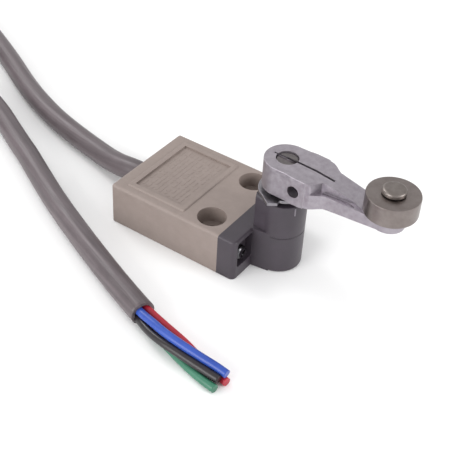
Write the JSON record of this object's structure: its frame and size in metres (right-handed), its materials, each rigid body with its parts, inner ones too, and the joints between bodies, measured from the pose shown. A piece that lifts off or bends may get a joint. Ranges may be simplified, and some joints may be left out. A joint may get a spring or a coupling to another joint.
{
  "type": "limit switch",
  "caption": "Compact enclosed limit switch: die-cast casing, side roller lever on a sprung shaft head, and a moulded four-core cable with bare-ended cores.",
  "frame": {"origin": "midway between the two mounting holes, on the mounting face", "axes": "+X from the cable end towards the lever's roller, +Y across the mounting holes, +Z out of the labelled face, along the mounting screws and the lever's shaft"},
  "size_m": [0.364, 0.1292, 0.0483],
  "materials": {
    "casing_paint": "fine matt baked paint on die-cast zinc",
    "cover_metal": "pressed plate, painted",
    "epoxy": "cast epoxy resin",
    "seal_rubber": "black nitrile rubber",
    "bronze": "oil-filled sintered bronze",
    "switch_black": "black phenolic moulding",
    "switch_red": "red polyester moulding",
    "brass": "rolled brass strip",
    "silver_contact": "silver rivet",
    "core_blue": "blue vinyl insulation",
    "core_red": "red vinyl insulation",
    "core_black": "black vinyl insulation",
    "core_green": "green vinyl insulation",
    "head_plastic": "dark grey moulded resin",
    "screw_black": "black-plated steel",
    "shaft_steel": "turned stainless steel",
    "stainless_plate": "blanked stainless sheet",
    "lever_alloy": "satin die-cast alloy",
    "sintered_steel": "fine turned sintered stainless",
    "plunger_steel": "ground steel",
    "spring_steel": "drawn spring wire",
    "button_plastic": "natural acetal",
    "cable_jacket": "grey oil-resistant vinyl jacket",
    "tie_nylon": "black strap"
  },
  "bodies": {
    "housing": {"casing": "casing_paint", "base_cover": "cover_metal", "potting": "epoxy", "cable_seal": "seal_rubber", "plunger_bush": "bronze", "switch_case": "switch_black", "switch_cover": "switch_red", "nc_terminal_near": "brass", "nc_terminal_far": "brass", "no_terminal_near": "brass", "no_terminal_far": "brass", "nc_contacts": "silver_contact", "no_contacts": "silver_contact", "inner_lead_blue": "core_blue", "inner_lead_red": "core_red", "inner_lead_black": "core_black", "inner_lead_green": "core_green", "head_gasket": "seal_rubber", "head_housing": "head_plastic", "head_cap": "head_plastic", "head_screws": "screw_black", "upper_bearing": "bronze", "lower_bearing": "bronze", "shaft_seal": "seal_rubber", "plunger_spring": "spring_steel", "contact_spring": "spring_steel", "cable_lead": "cable_jacket", "cable_coil": "cable_jacket", "cable_tail": "cable_jacket", "coil_tie": "tie_nylon", "core_blue": "core_blue", "core_red": "core_red", "core_black": "core_black", "core_green": "core_green"},
    "lever_group": {"shaft": "shaft_steel", "retaining_ring": "shaft_steel", "marker_plate": "stainless_plate", "lever": "lever_alloy", "clamp_bolt": "screw_black", "roller_pin": "shaft_steel", "roller_washer": "stainless_plate"},
    "roller": {"roller": "sintered_steel"},
    "plunger": {"plunger": "plunger_steel"},
    "switch_button": {"switch_button": "button_plastic", "contact_bridge": "brass", "bridge_contacts": "silver_contact"}
  },
  "joints": [
    {"name": "lever_turn", "type": "hinge", "parent": "housing", "child": "lever_group", "pos_m": [0.0197, 0, 0.03], "axis": [0, 0, 1], "range_deg": [-70, 70], "stiffness_Nm_per_rad": 0.06},
    {"name": "roller_spin", "type": "hinge", "parent": "lever_group", "child": "roller", "pos_m": [0.0577, 0, 0.0427], "axis": [0, 0, 1], "continuous": true},
    {"name": "plunger_slide", "type": "slide", "parent": "housing", "child": "plunger", "axis": [-1, 0, 0], "range_m": [0, 0.0015], "stiffness_N_per_m": 2500, "springref_m": -0.001, "deforming": ["plunger_spring"]},
    {"name": "button_slide", "type": "slide", "parent": "housing", "child": "switch_button", "axis": [-1, 0, 0], "range_m": [0, 0.0015], "deforming": ["contact_spring"]}
  ],
  "couplings": [
    {"joint": "button_slide", "follows": "plunger_slide", "ratio": 1}
  ]
}
